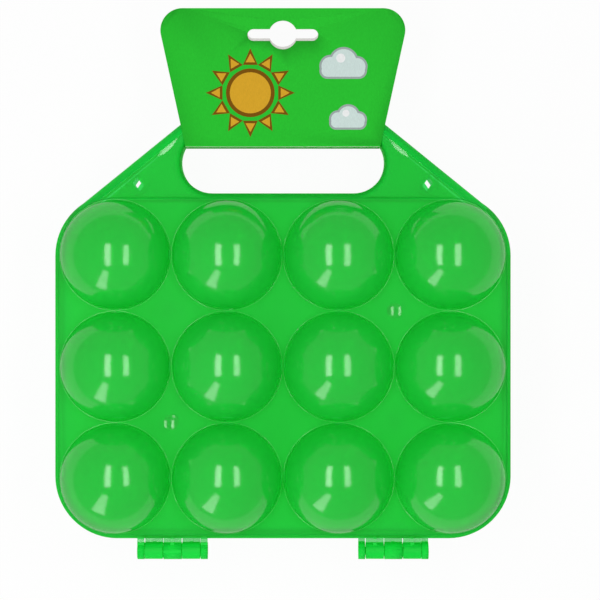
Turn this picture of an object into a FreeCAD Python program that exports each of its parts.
import FreeCAD
import Part
import Sketcher
import math
import os
import re

# Egg tray of two equal hinged halves with a folded display card round the grip of the upper half.
# The tray lies flat: X runs along the long side, Y from the hinge to the handle, Z up.
# Sizes are in millimetres.

# Driving lengths, each set by itself
lengths = {
    # cups
    "dome_radius": 23.5,
    "dome_foot_radius": 0.4,
    "web_width": 0.2,
    "flat_radius": 3.0,
    "wall": 1.3,
    # deck and lip
    "deck_height": 10.0,
    "deck_flat": 0.1,
    "deck_edge_radius": 0.6,
    "lip_width": 2.4,
    "lip_height": 1.5,
    "lip_edge_radius": 0.5,
    # handle
    "handle_height": 7.0,
    "handle_relief": 0.4,
    "handle_edge_radius": 4.0,
    "shoulder_inset": 0.4,
    "shoulder_flat": 0.85,
    "shoulder_blend_radius": 20.0,
    "handle_root": 10.0,
    "grip_width": 12.2,
    "grip_corner_radius": 20.0,
    "opening_length": 88.2,
    "opening_height": 27.0,
    "opening_bite": 0.2,
    "opening_edge_radius": 3.0,
    # press studs on the handle
    "stud_inset": 8.2,
    "stud_rise": 4.0,
    "stud_wall": 0.75,
    "stud_reach": 3.5,
    "diamond_width": 3.6,
    "diamond_length": 5.2,
    # locating pegs between the cups
    "peg_radius": 2.0,
    "peg_bore_radius": 1.0,
    "peg_reach": 3.0,
    "plug_clearance": 0.3,
    "socket_wall": 1.2,
    "socket_relief": 0.3,
    # hinge
    "hinge_window": 1.8,
    "barrel_radius": 3.7,
    "rod_radius": 1.75,
    "rod_clearance": 0.08,
    "lug_width": 2.9,
    "knuckle_width": 7.8,
    "knuckle_gap": 0.3,
    "snap_bite": 0.6,
    "rib_width": 1.6,
    "rib_height": 3.0,
    "web_height": 1.2,
    # display card
    "card_thickness": 0.4,
    "card_clearance": 0.3,
    "card_height": 60.0,
    "card_drop": 7.4,
    "card_side_gap": 0.2,
    "card_head_width": 110.2,
    "card_corner_radius": 9.5,
    "fold_radius": 0.5,
    "loop_room": 5.0,
    "slant_run": 8.0,
    "slot_width": 30.5,
    "slot_height": 5.1,
    "slot_eye_radius": 6.2,
    "slot_drop": 11.6,
    "slot_slip": 1.2,
    # how far every cut runs past the face that it opens
    "overrun": 2.0,
}

# Counts
counts = {
    "columns": 4,
    "rows": 3,
}

# Sizes worked out from the ones above
worked_out = {
    "egg_pitch": "(dome_radius + dome_foot_radius) * 2 + web_width",
    "row_length": "egg_pitch * (columns - 1)",
    "column_length": "egg_pitch * (rows - 1)",
    "corner_x": "row_length / 2",
    "corner_y": "column_length / 2",
    "deck_corner": "dome_radius + dome_foot_radius + deck_flat + deck_edge_radius",
    "deck_x": "corner_x + deck_corner",
    "deck_y": "corner_y + deck_corner",
    "lip_corner": "deck_corner + lip_width",
    "lip_x": "corner_x + lip_corner",
    "lip_y": "corner_y + lip_corner",
    "cavity_corner": "deck_corner - wall",
    "cavity_x": "deck_x - wall",
    "cavity_y": "deck_y - wall",
    "cavity_rise": "deck_height - wall + overrun",
    "dome_crown": "sqrt(dome_radius ^ 2 - flat_radius ^ 2)",
    "dome_foot": "deck_height - wall",
    "half_height": "deck_height + dome_crown",
    "cup_radius": "dome_radius - wall",
    "cup_foot": "dome_foot - overrun",
    "cup_seam": "deck_height + dome_foot_radius",
    "cup_trim": "dome_radius + overrun",
    # handle outline and the opening in it
    "shoulder_reach": "lip_corner - shoulder_inset",
    "opening_foot": "lip_y - opening_bite",
    "opening_radius": "opening_height / 2",
    "opening_y": "opening_foot + opening_radius",
    "opening_x": "opening_length / 2 - opening_radius",
    "grip_foot": "opening_foot + opening_height",
    "grip_top": "grip_foot + grip_width",
    # the shoulder is a straight line that touches the corner and the band round the opening
    "shoulder_band": "opening_radius + opening_edge_radius + shoulder_flat + handle_edge_radius",
    "shoulder_run": "corner_x - opening_x",
    "shoulder_rise": "opening_y - corner_y",
    "shoulder_span": "sqrt(shoulder_run ^ 2 + shoulder_rise ^ 2)",
    "shoulder_turn": "acos((shoulder_reach - shoulder_band) / shoulder_span)",
    "shoulder_slope": "shoulder_turn - atan(shoulder_run / shoulder_rise)",
    "shoulder_sine": "sin(shoulder_slope)",
    "shoulder_cosine": "cos(shoulder_slope)",
    "grip_x": "corner_x + (shoulder_reach - shoulder_cosine * (grip_top - corner_y)) / shoulder_sine",
    "blend_x": "corner_x + (shoulder_reach - shoulder_blend_radius) * shoulder_sine + shoulder_blend_radius",
    "blend_rise": "shoulder_reach - shoulder_sine * (blend_x - corner_x)",
    "blend_y": "corner_y + blend_rise / shoulder_cosine",
    "root_y": "corner_y - handle_root",
    "handle_root_radius": "handle_edge_radius + wall",
    "handle_rise": "handle_height - handle_relief",
    # hollow of the handle, one wall inside
    "hollow_reach": "shoulder_reach - wall",
    "hollow_top": "grip_top - wall",
    "hollow_x": "corner_x + (hollow_reach - shoulder_cosine * (hollow_top - corner_y)) / shoulder_sine",
    "hollow_blend_x": "blend_x - wall",
    "hollow_blend_rise": "hollow_reach - shoulder_sine * (hollow_blend_x - corner_x)",
    "hollow_blend_y": "corner_y + hollow_blend_rise / shoulder_cosine",
    "hollow_root_y": "root_y + wall",
    "hollow_grip_radius": "grip_corner_radius - wall",
    "hollow_blend_radius": "shoulder_blend_radius - wall",
    "hollow_root_radius": "handle_root_radius - wall",
    "hollow_opening_radius": "opening_radius + wall",
    "hollow_edge_radius": "handle_edge_radius - wall",
    "hollow_opening_edge_radius": "opening_edge_radius - wall",
    "hollow_rise": "handle_height - wall + overrun",
    # studs and pegs
    "stud_y": "lip_y + stud_rise",
    "stud_depth": "shoulder_reach - stud_inset",
    "stud_place": "corner_x + (stud_depth - shoulder_cosine * (stud_y - corner_y)) / shoulder_sine",
    "stud_radius": "diamond_length / 2 + stud_wall",
    "stud_length": "stud_reach + handle_height - wall / 2",
    "stud_socket_radius": "stud_radius + plug_clearance",
    "stud_boss_radius": "stud_socket_radius + socket_wall",
    "stud_boss_length": "handle_height - handle_relief - wall / 2",
    "stud_socket_depth": "handle_height - wall + overrun",
    "diamond_x": "diamond_width / 2",
    "diamond_y": "diamond_length / 2",
    "peg_x": "egg_pitch",
    "peg_y": "egg_pitch / 2",
    "peg_length": "peg_reach + deck_height - wall / 2",
    "peg_bore_depth": "peg_reach + deck_height - wall + overrun",
    "peg_socket_radius": "peg_radius + plug_clearance",
    "peg_boss_radius": "peg_socket_radius + socket_wall",
    "peg_boss_length": "deck_height - socket_relief - wall / 2",
    "peg_socket_depth": "deck_height - wall + overrun",
    # hinge
    "hinge_x": "egg_pitch",
    "hinge_y": "lip_y + hinge_window + barrel_radius",
    "hook_place": "knuckle_width + knuckle_gap",
    "lug_place": "hook_place + knuckle_width / 2 + knuckle_gap + lug_width / 2",
    "rod_bore_radius": "rod_radius + rod_clearance",
    "mouth_width": "rod_radius * 2 - snap_bite",
    "rib_length": "hinge_window + lip_width + wall / 2 + (barrel_radius - rod_bore_radius) / 2",
    # card, in the half's own frame
    "card_front": "handle_height + card_clearance + card_thickness",
    "card_back": "-card_thickness / 2",
    "card_glue": "card_front - 2 * card_thickness",
    "card_foot": "grip_foot - card_drop",
    "card_top": "card_foot + card_height",
    "card_fold_end": "card_foot + card_thickness + fold_radius",
    "card_room": "opening_x + sqrt(opening_radius ^ 2 - (card_fold_end - opening_y) ^ 2)",
    "card_foot_x": "card_room - card_side_gap",
    "card_head_x": "card_head_width / 2",
    "crease_y": "grip_top + loop_room",
    "join_y": "crease_y + slant_run",
    "slant_rise": "card_glue - card_back",
    "slant_bend": "(sqrt(slant_rise ^ 2 + slant_run ^ 2) - slant_run) / slant_rise",
    "loop_foot": "card_foot + card_thickness",
    "loop_front": "card_front - card_thickness",
    "loop_back": "card_back + card_thickness",
    "loop_crease_y": "crease_y - card_thickness * slant_bend",
    "loop_join_y": "join_y - card_thickness * slant_bend",
    "fold_outer_radius": "fold_radius + card_thickness",
    "slot_y": "card_top - slot_drop",
    "slot_end_radius": "slot_height / 2",
    "slot_end_x": "slot_width / 2 - slot_end_radius",
    "back_slot_y": "slot_y + slot_slip",
    "slot_middle": "card_front - card_thickness",
    "trim_x": "card_head_x + overrun",
    "trim_foot": "card_foot - overrun",
    "trim_top": "card_top + overrun",
    # the tray stands with its middle over the origin
    "middle_y": "(card_top - hinge_y - barrel_radius) / 2",
}

# How far a face may lean or an edge may stray and still count as level or of one size
flat_tolerance = 0.001

document = FreeCAD.newDocument("egg_tray")
sheet = document.addObject("Spreadsheet::Sheet", "Sizes")


def fill_sheet():
    """Write every size into the sheet with its name as alias, the driving ones as plain numbers."""
    cells = [(name, str(number)) for name, number in {**lengths, **counts}.items()]
    cells += [(name, "=" + formula) for name, formula in worked_out.items()]
    for row, (name, content) in enumerate(cells, start=1):
        sheet.set(f"A{row}", name)
        sheet.set(f"B{row}", content)
        sheet.setAlias(f"B{row}", name)
    document.recompute()


def value(name):
    """The number that a size name, with or without a minus sign, stands for."""
    sign = -1 if name.startswith("-") else 1
    return sign * float(sheet.get(name.lstrip("-")))


def sized(text):
    """An expression in size names as the document reads it."""
    return re.sub(r"[a-z][a-z_]+", r"Sizes.\g<0>", text)


def bind(thing, **expressions):
    """Bind properties to expressions in size names. A double underscore stands for a dot."""
    for path, text in expressions.items():
        thing.setExpression(path.replace("__", "."), sized(text))


def move(thing, x="", y="", z=""):
    """Bind the place of an object to expressions in size names."""
    for axis, text in zip("xyz", (x, y, z)):
        if text:
            thing.setExpression(f"Placement.Base.{axis}", sized(text))


# Sketches
def new_body(name):
    body = document.addObject("PartDesign::Body", name)
    body.Label = name
    return body


def new_sketch(body, name, plane="XY_Plane", lift="", across=""):
    """A sketch on one of the body's origin planes, lifted off it and shifted across it."""
    sketch = body.newObject("Sketcher::SketchObject", name)
    support = next(item for item in body.Origin.OriginFeatures if item.Role == plane)
    sketch.AttachmentSupport = (support, [""])
    sketch.MapMode = "FlatFace"
    if lift:
        bind(sketch, AttachmentOffset__Base__z=lift)
    if across:
        bind(sketch, AttachmentOffset__Base__x=across)
    return sketch


def constrain(sketch, *arguments, size=""):
    """Add a constraint, bound to a size if one is named."""
    number = [value(size)] if size else []
    index = sketch.addConstraint(Sketcher.Constraint(*arguments, *number))
    if size:
        sketch.setExpression(f"Constraints[{index}]", sized(size))


def place_point(sketch, geometry, position, x, y):
    """Fix a point at a place given by two size names, or zero."""
    origin = (-1, 1)
    for kind, size, axis in (("DistanceX", x, -2), ("DistanceY", y, -1)):
        if size:
            constrain(sketch, kind, *origin, geometry, position, size=size)
        else:
            constrain(sketch, "PointOnObject", geometry, position, axis)


def add_circle(sketch, radius, x="", y=""):
    centre = FreeCAD.Vector(value(x) if x else 0, value(y) if y else 0, 0)
    circle = sketch.addGeometry(Part.Circle(centre, FreeCAD.Vector(0, 0, 1), value(radius)))
    place_point(sketch, circle, 3, x, y)
    constrain(sketch, "Radius", circle, size=radius)


def add_outline(sketch, corners):
    """A closed outline, anticlockwise through corners (x, y, radius), round where a radius is named."""
    spots = [FreeCAD.Vector(value(x) if x else 0, value(y) if y else 0, 0) for x, y, radius in corners]
    starts, ends, arcs, marks = [], [], {}, []
    for index, (x, y, radius) in enumerate(corners):
        spot = spots[index]
        back = (spots[index - 1] - spot).normalize()
        ahead = (spots[(index + 1) % len(spots)] - spot).normalize()
        half_angle = back.getAngle(ahead) / 2
        cut = value(radius) / math.tan(half_angle) if radius else 0
        starts.append(spot + back * cut)
        ends.append(spot + ahead * cut)
        marks.append(sketch.addGeometry(Part.Point(spot), True))
        place_point(sketch, marks[-1], 1, x, y)
        if radius:
            centre = spot + (back + ahead).normalize() * (value(radius) / math.sin(half_angle))
            spread = [math.atan2(end.y - centre.y, end.x - centre.x) for end in (starts[-1], ends[-1])]
            circle = Part.Circle(centre, FreeCAD.Vector(0, 0, 1), value(radius))
            arcs[index] = sketch.addGeometry(Part.ArcOfCircle(circle, *spread))
            constrain(sketch, "Radius", arcs[index], size=radius)
    lines = []
    for index, start in enumerate(ends):
        following = (index + 1) % len(ends)
        lines.append(sketch.addGeometry(Part.LineSegment(start, starts[following])))
    for index, line in enumerate(lines):
        following = (index + 1) % len(lines)
        for corner, line_end, arc_end in ((index, 1, 2), (following, 2, 1)):
            if corner in arcs:
                constrain(sketch, "PointOnObject", marks[corner], 1, line)
                constrain(sketch, "Tangent", line, line_end, arcs[corner], arc_end)
            else:
                constrain(sketch, "Coincident", line, line_end, marks[corner], 1)


def mirrored_corners(right_side):
    """The corners of the right side, foot to head, followed by their mirror images, head to foot."""
    left_side = [("-" + x, y, radius) for x, y, radius in reversed(right_side)]
    return right_side + left_side


def add_rounded_rectangle(sketch, half_x, half_y, radius):
    add_outline(sketch, mirrored_corners([(half_x, "-" + half_y, radius), (half_x, half_y, radius)]))


def add_stadium(sketch, end_x, middle_y, radius):
    """A slot with round ends, level along X."""
    turns = {"-" + end_x: (math.pi / 2, 3 * math.pi / 2), end_x: (-math.pi / 2, math.pi / 2)}
    arcs = []
    for x, turn in turns.items():
        centre = FreeCAD.Vector(value(x), value(middle_y), 0)
        circle = Part.Circle(centre, FreeCAD.Vector(0, 0, 1), value(radius))
        arcs.append(sketch.addGeometry(Part.ArcOfCircle(circle, *turn)))
        place_point(sketch, arcs[-1], 3, x, middle_y)
    for left_end, right_end in ((1, 2), (2, 1)):
        ends = [sketch.getPoint(arcs[0], left_end), sketch.getPoint(arcs[1], right_end)]
        line = sketch.addGeometry(Part.LineSegment(*ends))
        constrain(sketch, "Tangent", line, 1, arcs[0], left_end)
        constrain(sketch, "Tangent", line, 2, arcs[1], right_end)
    constrain(sketch, "Radius", arcs[0], size=radius)


# Features
def add_pad(body, sketch, name, length):
    pad = body.newObject("PartDesign::Pad", name)
    pad.Profile = sketch
    bind(pad, Length=length)
    document.recompute()
    return pad


def add_pocket(body, sketch, name, depth):
    """A pocket that cuts upwards from its sketch."""
    before = body.Shape.Volume
    pocket = body.newObject("PartDesign::Pocket", name)
    pocket.Profile = sketch
    pocket.Reversed = True
    bind(pocket, Length=depth)
    document.recompute()
    if body.Shape.Volume >= before:
        raise RuntimeError(f"{name} cuts nothing")
    return pocket


def add_fillet(body, name, base, edges, radius):
    fillet = body.newObject("PartDesign::Fillet", name)
    fillet.Base = (base, edges)
    bind(fillet, Radius=radius)
    document.recompute()
    return fillet


def top_edges(feature, height, outer):
    """Names of the edges round the flat face at a height: its outer wire, or the wires inside it."""
    up = FreeCAD.Vector(0, 0, 1)
    flats = [face for face in feature.Shape.Faces if isinstance(face.Surface, Part.Plane)]
    level = [face for face in flats if face.Surface.Axis.isParallel(up, flat_tolerance)]
    top = min(level, key=lambda face: abs(face.CenterOfMass.z - value(height)))
    wires = [wire for wire in top.Wires if wire.isSame(top.OuterWire) == outer]
    wanted = [edge for wire in wires for edge in wire.Edges]
    names = []
    for index, edge in enumerate(feature.Shape.Edges, start=1):
        if any(edge.isSame(other) for other in wanted):
            names.append(f"Edge{index}")
    return names


def ring_edges(feature, radius, height):
    """Names of the round edges of one radius that lie level at a height."""
    names = []
    for index, edge in enumerate(feature.Shape.Edges, start=1):
        if not isinstance(edge.Curve, Part.Circle):
            continue
        misses = (edge.Curve.Radius - value(radius), edge.Curve.Center.z - value(height))
        if max(abs(miss) for miss in misses) < flat_tolerance:
            names.append(f"Edge{index}")
    return names


def repeat_over_cups(body, feature, name):
    """Repeat a feature over the columns and rows of cups."""
    pattern = body.newObject("PartDesign::MultiTransform", name)
    pattern.Originals = [feature]
    steps = []
    directions = (("X_Axis", "row_length", "columns"), ("Y_Axis", "column_length", "rows"))
    for axis, length, occurrences in directions:
        step = document.addObject("PartDesign::LinearPattern", name + "_" + axis)
        body.addObject(step)
        direction = next(item for item in body.Origin.OriginFeatures if item.Role == axis)
        step.Direction = (direction, [""])
        bind(step, Length=length, Occurrences=occurrences)
        steps.append(step)
    pattern.Transformations = steps
    body.Tip = pattern
    document.recompute()
    return pattern


def add_dome_profile(body, name, radius, foot, crown_flat="", lift="", across=""):
    """Half the section of a dome, from its foot to its crown, with a flat on the crown if one is named."""
    sketch = new_sketch(body, name + "_profile", "XZ_Plane", lift, across)
    corner = FreeCAD.Vector(value(radius), value("deck_height"), 0)
    centre = FreeCAD.Vector(0, value("deck_height"), 0)
    flat = value(crown_flat) if crown_flat else 0
    crown = FreeCAD.Vector(flat, centre.y + math.sqrt(value(radius) ** 2 - flat**2), 0)
    axis_top = FreeCAD.Vector(0, crown.y, 0)
    axis_foot = FreeCAD.Vector(0, value(foot), 0)
    wall_foot = FreeCAD.Vector(corner.x, axis_foot.y, 0)
    circle = Part.Circle(centre, FreeCAD.Vector(0, 0, 1), corner.x)
    arc = sketch.addGeometry(Part.ArcOfCircle(circle, 0, math.atan2(crown.y - centre.y, crown.x)))
    place_point(sketch, arc, 3, "", "deck_height")
    constrain(sketch, "Radius", arc, size=radius)
    floor = sketch.addGeometry(Part.LineSegment(axis_foot, wall_foot))
    side = sketch.addGeometry(Part.LineSegment(wall_foot, corner))
    axis = sketch.addGeometry(Part.LineSegment(axis_top, axis_foot))
    place_point(sketch, floor, 1, "", foot)
    constrain(sketch, "Horizontal", floor)
    constrain(sketch, "Coincident", floor, 2, side, 1)
    constrain(sketch, "Tangent", side, 2, arc, 1)
    constrain(sketch, "Coincident", axis, 2, floor, 1)
    constrain(sketch, "PointOnObject", axis, 1, -2)
    if crown_flat:
        top = sketch.addGeometry(Part.LineSegment(crown, axis_top))
        constrain(sketch, "Coincident", arc, 2, top, 1)
        constrain(sketch, "Coincident", top, 2, axis, 1)
        constrain(sketch, "Horizontal", top)
        constrain(sketch, "DistanceX", axis, 1, top, 1, size=crown_flat)
    else:
        constrain(sketch, "Coincident", arc, 2, axis, 1)
    return sketch


def turn(body, kind, name, sketch):
    """A Revolution or a Groove: a full turn of a profile about its own upright axis."""
    turned = body.newObject("PartDesign::" + kind, name)
    turned.Profile = sketch
    turned.ReferenceAxis = (sketch, ["V_Axis"])
    turned.Angle = 360
    document.recompute()
    return turned


def add_domes(body, name, radius, foot, crown_flat=""):
    """A dome over the first cup, repeated over the others."""
    sketch = add_dome_profile(body, name, radius, foot, crown_flat, "corner_y", "-corner_x")
    dome = turn(body, "Revolution", name, sketch)
    return repeat_over_cups(body, dome, name + "s")


# One half of the tray, seen with its rim on the plane of its own X and Y and its cups upwards
def make_cavity():
    """The space inside a half: handle, deck and cups, each one wall inside the outer skin."""
    body = new_body("cavity")
    sketch = new_sketch(body, "hollow_outline", lift="-overrun")
    add_outline(sketch, mirrored_corners([
        ("hollow_blend_x", "hollow_root_y", "hollow_root_radius"),
        ("hollow_blend_x", "hollow_blend_y", "hollow_blend_radius"),
        ("hollow_x", "hollow_top", "hollow_grip_radius"),
    ]))
    add_stadium(sketch, "opening_x", "opening_y", "hollow_opening_radius")
    hollow = add_pad(body, sketch, "hollow", "hollow_rise")
    edges = top_edges(hollow, "handle_height", outer=True)
    rounded = add_fillet(body, "hollow_edge", hollow, edges, "hollow_edge_radius")
    edges = top_edges(rounded, "handle_height", outer=False)
    add_fillet(body, "hollow_opening_edge", rounded, edges, "hollow_opening_edge_radius")
    sketch = new_sketch(body, "cavity_outline", lift="-overrun")
    add_rounded_rectangle(sketch, "cavity_x", "cavity_y", "cavity_corner")
    add_pad(body, sketch, "deck_cavity", "cavity_rise")
    add_domes(body, "cup", "cup_radius", "lip_height")
    return body


def make_skin():
    """The outer form of a half, solid: lip, handle, deck and the feet of the domes."""
    body = new_body("skin")
    sketch = new_sketch(body, "lip_outline")
    add_rounded_rectangle(sketch, "lip_x", "lip_y", "lip_corner")
    lip = add_pad(body, sketch, "lip", "lip_height")
    add_fillet(body, "lip_edge", lip, top_edges(lip, "lip_height", outer=True), "lip_edge_radius")
    sketch = new_sketch(body, "handle_outline", lift="handle_relief")
    add_outline(sketch, mirrored_corners([
        ("blend_x", "root_y", "handle_root_radius"),
        ("blend_x", "blend_y", "shoulder_blend_radius"),
        ("grip_x", "grip_top", "grip_corner_radius"),
    ]))
    add_stadium(sketch, "opening_x", "opening_y", "opening_radius")
    handle = add_pad(body, sketch, "handle", "handle_rise")
    edges = top_edges(handle, "handle_height", outer=True)
    rounded = add_fillet(body, "handle_edge", handle, edges, "handle_edge_radius")
    edges = top_edges(rounded, "handle_height", outer=False)
    add_fillet(body, "opening_edge", rounded, edges, "opening_edge_radius")
    sketch = new_sketch(body, "deck_outline")
    add_rounded_rectangle(sketch, "deck_x", "deck_y", "deck_corner")
    deck = add_pad(body, sketch, "deck", "deck_height")
    edges = top_edges(deck, "deck_height", outer=True)
    add_fillet(body, "deck_edge", deck, edges, "deck_edge_radius")
    sketch = new_sketch(body, "opening_through_lip", lift="-overrun")
    add_stadium(sketch, "opening_x", "opening_y", "opening_radius")
    add_pocket(body, sketch, "lip_opening", "overrun + handle_relief + lip_height")
    domes = add_domes(body, "dome", "dome_radius", "dome_foot", "flat_radius")
    edges = ring_edges(domes, "dome_radius", "deck_height")
    add_fillet(body, "dome_feet", domes, edges, "dome_foot_radius")
    sketch = new_sketch(body, "dome_tops_outline", lift="cup_seam")
    add_rounded_rectangle(sketch, "lip_x", "lip_y", "lip_corner")
    add_pocket(body, sketch, "dome_tops", "dome_crown")
    return body


def add_plugs(body):
    """Pegs and a stud that reach into the other half, and the bosses that take the other half's."""
    peg_places = (("peg_x", "peg_y"), ("-peg_x", "-peg_y"))
    boss_places = (("-peg_x", "peg_y"), ("peg_x", "-peg_y"))
    posts = (
        ("pegs", "peg_radius", peg_places, "-peg_reach", "peg_length"),
        ("peg_bosses", "peg_boss_radius", boss_places, "socket_relief", "peg_boss_length"),
        ("stud", "stud_radius", (("stud_place", "stud_y"),), "-stud_reach", "stud_length"),
        ("stud_boss", "stud_boss_radius", (("-stud_place", "stud_y"),), "handle_relief", "stud_boss_length"),
    )
    for name, radius, places, lift, length in posts:
        sketch = new_sketch(body, name + "_outline", lift=lift)
        for x, y in places:
            add_circle(sketch, radius, x, y)
        add_pad(body, sketch, name, length)
    bores = (
        ("peg_bores", "peg_bore_radius", peg_places, "-peg_reach - overrun", "peg_bore_depth"),
        ("peg_sockets", "peg_socket_radius", boss_places, "-overrun", "peg_socket_depth"),
        ("stud_socket", "stud_socket_radius", (("-stud_place", "stud_y"),), "-overrun", "stud_socket_depth"),
    )
    for name, radius, places, lift, depth in bores:
        sketch = new_sketch(body, name + "_outline", lift=lift)
        for x, y in places:
            add_circle(sketch, radius, x, y)
        add_pocket(body, sketch, name, depth)


def add_diamonds(body):
    """Diamond holes right through the stud, and through the face over the stud's socket."""
    tips = [("diamond_x", "", ""), ("", "diamond_y", ""), ("-diamond_x", "", ""), ("", "-diamond_y", "")]
    for name, side in (("stud_hole", "stud_place"), ("socket_hole", "-stud_place")):
        sketch = new_sketch(body, name + "_outline", lift="-stud_reach - overrun", across=side)
        bind(sketch, AttachmentOffset__Base__y="stud_y")
        add_outline(sketch, tips)
        add_pocket(body, sketch, name, "stud_reach + handle_height + overrun * 2")


def make_shell():
    """The hollow deck and handle with their plugs and sockets."""
    cavity = make_cavity()
    body = make_skin()
    hollow = body.newObject("PartDesign::Boolean", "hollow_out")
    hollow.Type = "Cut"
    hollow.addObjects([cavity])
    body.Tip = hollow
    document.recompute()
    add_plugs(body)
    add_diamonds(body)
    return body


def barrel(name, radius, middle, width):
    """A round piece of the hinge, along X, given by its middle and width in size names."""
    cylinder = document.addObject("Part::Cylinder", name)
    bind(cylinder, Radius=radius, Height=width)
    cylinder.Placement = FreeCAD.Placement(FreeCAD.Vector(), FreeCAD.Rotation(FreeCAD.Vector(0, 1, 0), 90))
    move(cylinder, x=f"{middle} - ({width}) / 2", y="-hinge_y")
    return cylinder


def arm(name, middle, width, height):
    """A flat arm from a hinge barrel into the skirt of its own half."""
    box = document.addObject("Part::Box", name)
    bind(box, Length=width, Width="rib_length", Height=height)
    move(box, x=f"{middle} - {width} / 2", y="-deck_y + wall / 2 - rib_length")
    return box


def knuckle(name, middle):
    """A wide barrel on a thin web with a rib along its middle."""
    return [
        barrel(name + "_barrel", "barrel_radius", middle, "knuckle_width"),
        arm(name + "_web", middle, "knuckle_width", "web_height"),
        arm(name + "_rib", middle, "rib_width", "rib_height"),
    ]


def join(name, pieces):
    union = document.addObject("Part::MultiFuse", name)
    union.Shapes = pieces
    return union


def cut(name, base, tool):
    difference = document.addObject("Part::Cut", name)
    difference.Base = base
    difference.Tool = tool
    return difference


def make_rod_side():
    """Hinge rod between two lugs, with a stiffening knuckle in its middle."""
    pieces = [barrel("hinge_rod", "rod_radius", "-hinge_x", "lug_place * 2")]
    pieces += knuckle("rod_knuckle", "-hinge_x")
    for name, middle in (("left_lug", "-hinge_x - lug_place"), ("right_lug", "-hinge_x + lug_place")):
        pieces.append(barrel(name, "barrel_radius", middle, "lug_width"))
        pieces.append(arm(name + "_arm", middle, "lug_width", "rib_height"))
    return pieces


def make_hooks():
    """Two snap hooks, each open away from the tray, for the rod of the other half."""
    hooks = []
    for name, middle in (("left_hook", "hinge_x - hook_place"), ("right_hook", "hinge_x + hook_place")):
        mouth = document.addObject("Part::Box", name + "_mouth")
        bind(mouth, Length="knuckle_width + overrun * 2", Width="barrel_radius + overrun")
        bind(mouth, Height="mouth_width")
        move(mouth, x=f"{middle} - knuckle_width / 2 - overrun", z="-mouth_width / 2")
        move(mouth, y="-hinge_y - barrel_radius - overrun")
        bore = barrel(name + "_bore", "rod_bore_radius", middle, "knuckle_width + overrun * 2")
        ring = join(name + "_ring", knuckle(name, middle))
        hooks.append(cut(name, ring, join(name + "_gap", [bore, mouth])))
    return hooks


def make_cup():
    """The round wall of one cup above the deck, about its own axis."""
    body = new_body("cup_wall")
    sketch = add_dome_profile(body, "crown", "dome_radius", "dome_foot", "flat_radius")
    turn(body, "Revolution", "crown", sketch)
    sketch = add_dome_profile(body, "crown_hollow", "cup_radius", "cup_foot")
    turn(body, "Groove", "crown_hollow", sketch)
    sketch = new_sketch(body, "crown_foot_outline", lift="cup_foot")
    add_circle(sketch, "cup_trim")
    add_pocket(body, sketch, "crown_foot", "cup_seam - cup_foot")
    return body


def place_copy(name, original, turned, x="", y="-middle_y"):
    """A copy of a deck or cup in its place in the tray, turned over for the lower half."""
    body = new_body(name)
    copy = document.addObject("PartDesign::FeatureBase", name + "_copy")
    copy.BaseFeature = original
    body.Group = [copy]
    body.Tip = copy
    half_turn = FreeCAD.Rotation(FreeCAD.Vector(0, 1, 0), 180 if turned else 0)
    body.Placement = FreeCAD.Placement(FreeCAD.Vector(), half_turn)
    move(body, x, y, "half_height")
    return body


def make_half(half, deck, cup, turned):
    """One half of the tray: its deck, and its cups in rows from the hinge and columns from the left."""
    bodies = [place_copy(half + "_deck", deck, turned)]
    for row in range(counts["rows"]):
        for column in range(counts["columns"]):
            name = f"{half}_cup_{row + 1}_{column + 1}"
            x = f"egg_pitch * {column} - corner_x"
            y = f"egg_pitch * {row} - corner_y - middle_y"
            bodies.append(place_copy(name, cup, turned, x, y))
    return bodies


def make_card():
    """The display card: a strip of board folded round the grip of the upper half and glued above it."""
    body = new_body("header_card")
    sketch = new_sketch(body, "card_loop", "YZ_Plane")
    add_outline(sketch, [
        ("card_foot", "card_back", "fold_outer_radius"),
        ("crease_y", "card_back", ""),
        ("join_y", "card_glue", ""),
        ("card_top", "card_glue", ""),
        ("card_top", "card_front", ""),
        ("card_foot", "card_front", "fold_outer_radius"),
    ])
    add_outline(sketch, [
        ("loop_foot", "loop_back", "fold_radius"),
        ("loop_crease_y", "loop_back", ""),
        ("loop_join_y", "loop_front", ""),
        ("loop_foot", "loop_front", "fold_radius"),
    ])
    strip = add_pad(body, sketch, "card_strip", "card_head_width + overrun")
    strip.SideType = "Symmetric"
    document.recompute()
    sketch = new_sketch(body, "card_trim", lift="card_back - overrun")
    add_outline(sketch, mirrored_corners([("trim_x", "trim_foot", ""), ("trim_x", "trim_top", "")]))
    add_outline(sketch, mirrored_corners([
        ("card_foot_x", "card_foot", ""),
        ("card_head_x", "card_top", "card_corner_radius"),
    ]))
    add_pocket(body, sketch, "card_sides", "card_front - card_back + overrun * 2")
    layers = (
        ("front", "slot_y", "slot_middle", "card_thickness + overrun"),
        ("back", "back_slot_y", "card_back - overrun", "slot_middle - card_back + overrun"),
    )
    for name, middle, lift, depth in layers:
        sketch = new_sketch(body, name + "_slot_outline", lift=lift)
        add_stadium(sketch, "slot_end_x", middle, "slot_end_radius")
        add_pocket(body, sketch, name + "_slot", depth)
        sketch = new_sketch(body, name + "_eye_outline", lift=lift)
        add_circle(sketch, "slot_eye_radius", "", middle)
        add_pocket(body, sketch, name + "_eye", depth)
    move(body, y="-middle_y", z="half_height")
    return body


def export(bodies):
    """Check every object of the document and write each sub-part to its own file."""
    document.recompute()
    for thing in document.Objects:
        if "Invalid" in thing.State or "Error" in thing.State:
            raise RuntimeError(f"{thing.Label} did not build: {thing.State}")
    os.makedirs("parts", exist_ok=True)
    for body in bodies:
        shape = body.Shape
        if shape.isNull() or not shape.isValid() or len(shape.Solids) != 1:
            raise RuntimeError(f"{body.Label} is not one sound solid")
        shape.exportStep(f"parts/{body.Label}.step")


fill_sheet()
deck = join("deck_with_hinge", [make_shell()] + make_rod_side() + make_hooks())
cup = make_cup()
document.recompute()
lid = make_half("lid", deck, cup, turned=False)
base = make_half("base", deck, cup, turned=True)
export(lid + base + [make_card()])
